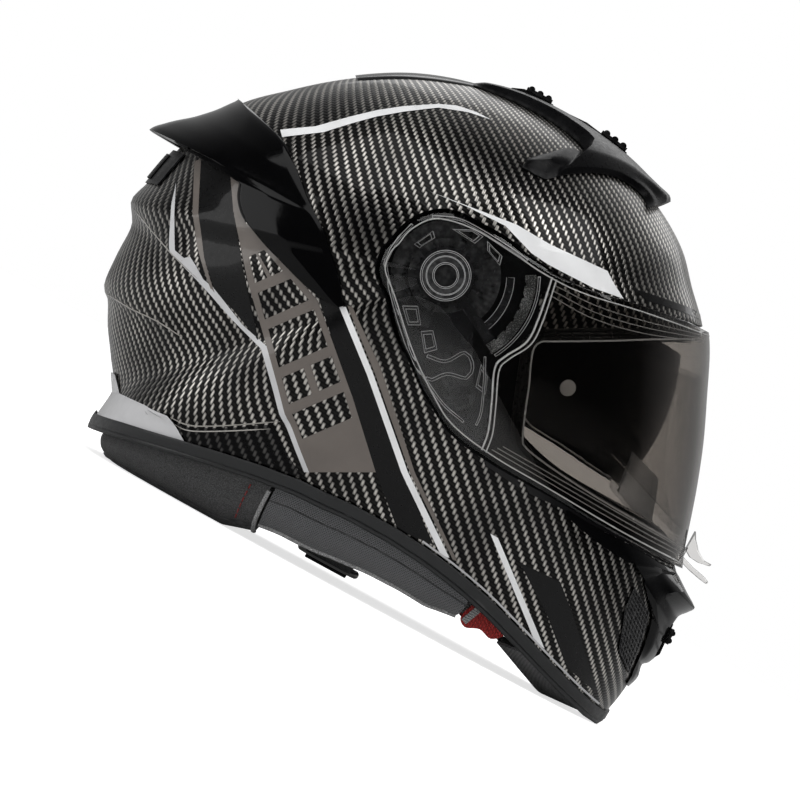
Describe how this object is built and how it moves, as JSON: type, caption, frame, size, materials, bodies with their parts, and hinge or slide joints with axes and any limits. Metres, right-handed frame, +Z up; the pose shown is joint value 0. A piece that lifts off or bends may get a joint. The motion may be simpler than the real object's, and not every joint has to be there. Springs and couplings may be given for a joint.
{
  "type": "full face motorcycle helmet",
  "caption": "Full-face motorcycle helmet with a swinging clear visor, an inner sun visor, vents with sliders, a rear spoiler, padding and a chin strap with D-rings.",
  "frame": {"origin": "centre of the bounding box on the plane the helmet stands on", "axes": "+X is the wearer's forward, +Y the wearer's left, +Z up"},
  "size_m": [0.3506, 0.2614, 0.2618],
  "materials": {
    "carbon_laminate": "clear-coated",
    "foam": "matte",
    "lining": "matte",
    "rubber": "matte",
    "matte_black": "satin",
    "gloss_black": "gloss",
    "red_ribbon": "matte",
    "clear_pane": "gloss",
    "smoke_pane": "gloss",
    "steel": "satin",
    "grey_plastic": "satin",
    "webbing": "matte"
  },
  "bodies": {
    "helmet": {"outer_shell": "carbon_laminate", "impact_liner": "foam", "chin_liner": "foam", "crown_pad": "lining", "cheek_pad_left": "lining", "cheek_pad_right": "lining", "neck_roll": "lining", "neck_panel_left": "lining", "neck_panel_right": "lining", "base_trim": "rubber", "eye_port_seal": "rubber", "breath_deflector": "matte_black", "chin_curtain": "lining", "pull_tab_left": "red_ribbon", "pull_tab_right": "red_ribbon", "rear_spoiler": "gloss_black", "rear_exhaust": "matte_black", "top_vent": "matte_black", "chin_vent": "matte_black", "chin_mesh_left": "matte_black", "chin_mesh_right": "matte_black", "base_plate_left": "matte_black", "base_plate_right": "matte_black", "plate_screws_left": "steel", "plate_screws_right": "steel", "click_sector_left": "grey_plastic", "click_sector_right": "grey_plastic", "sun_pivot_left": "steel", "sun_pivot_right": "steel", "sun_track": "matte_black", "sun_cable": "matte_black", "strap_left": "webbing", "strap_right": "webbing", "strap_rivets": "steel"},
    "visor": {"visor": "clear_pane", "visor_tab": "clear_pane", "antifog_lens": "clear_pane", "lens_pins": "matte_black", "visor_hub_left": "matte_black", "visor_hub_right": "matte_black"},
    "sun_visor": {"sun_visor": "smoke_pane"},
    "sun_slider": {"sun_slider": "matte_black"},
    "top_slider_front": {"top_slider_front": "matte_black"},
    "top_slider_rear": {"top_slider_rear": "matte_black"},
    "chin_slider": {"chin_slider": "matte_black"},
    "release_lever_left": {"release_lever_left": "matte_black"},
    "release_lever_right": {"release_lever_right": "matte_black"},
    "d_ring_lower": {"d_ring_lower": "steel"},
    "d_ring_upper": {"d_ring_upper": "steel"}
  },
  "joints": [
    {"name": "visor_hinge", "type": "hinge", "parent": "helmet", "child": "visor", "pos_m": [-0.011, 0, 0.157], "axis": [0, -1, 0], "range_deg": [0, 60]},
    {"name": "sun_visor_hinge", "type": "hinge", "parent": "helmet", "child": "sun_visor", "pos_m": [0.019, 0, 0.139], "axis": [0, -1, 0], "range_deg": [0, 38]},
    {"name": "sun_slider_slide", "type": "slide", "parent": "helmet", "child": "sun_slider", "axis": [0.9577, -0.1607, -0.2388], "range_m": [0, 0.012]},
    {"name": "top_slider_front_slide", "type": "slide", "parent": "helmet", "child": "top_slider_front", "axis": [-0.989, 0, 0.1478], "range_m": [0, 0.008]},
    {"name": "top_slider_rear_slide", "type": "slide", "parent": "helmet", "child": "top_slider_rear", "axis": [-1, 0, 0], "range_m": [0, 0.008]},
    {"name": "chin_slider_slide", "type": "slide", "parent": "helmet", "child": "chin_slider", "axis": [0.0698, 0, -0.9976], "range_m": [0, 0.006]},
    {"name": "release_lever_left_hinge", "type": "hinge", "parent": "helmet", "child": "release_lever_left", "pos_m": [-0.0245, 0, 0.1395], "axis": [0, -1, 0], "range_deg": [0, 10], "stiffness_Nm_per_rad": 0.05, "springref_deg": -5.73},
    {"name": "release_lever_right_hinge", "type": "hinge", "parent": "helmet", "child": "release_lever_right", "pos_m": [-0.0245, 0, 0.1395], "axis": [0, -1, 0], "range_deg": [0, 10], "stiffness_Nm_per_rad": 0.05, "springref_deg": -5.73},
    {"name": "d_ring_lower_hinge", "type": "hinge", "parent": "helmet", "child": "d_ring_lower", "pos_m": [0.005, 0.024, 0.007], "axis": [1, 0, 0], "range_deg": [-0.5, 25]},
    {"name": "d_ring_upper_hinge", "type": "hinge", "parent": "helmet", "child": "d_ring_upper", "pos_m": [0.005, 0.0179, 0.0118], "axis": [1, 0, 0], "range_deg": [-6, 1.5]}
  ],
  "couplings": [
    {"joint": "sun_slider_slide", "follows": "sun_visor_hinge", "m_per_rad": 0.018}
  ]
}
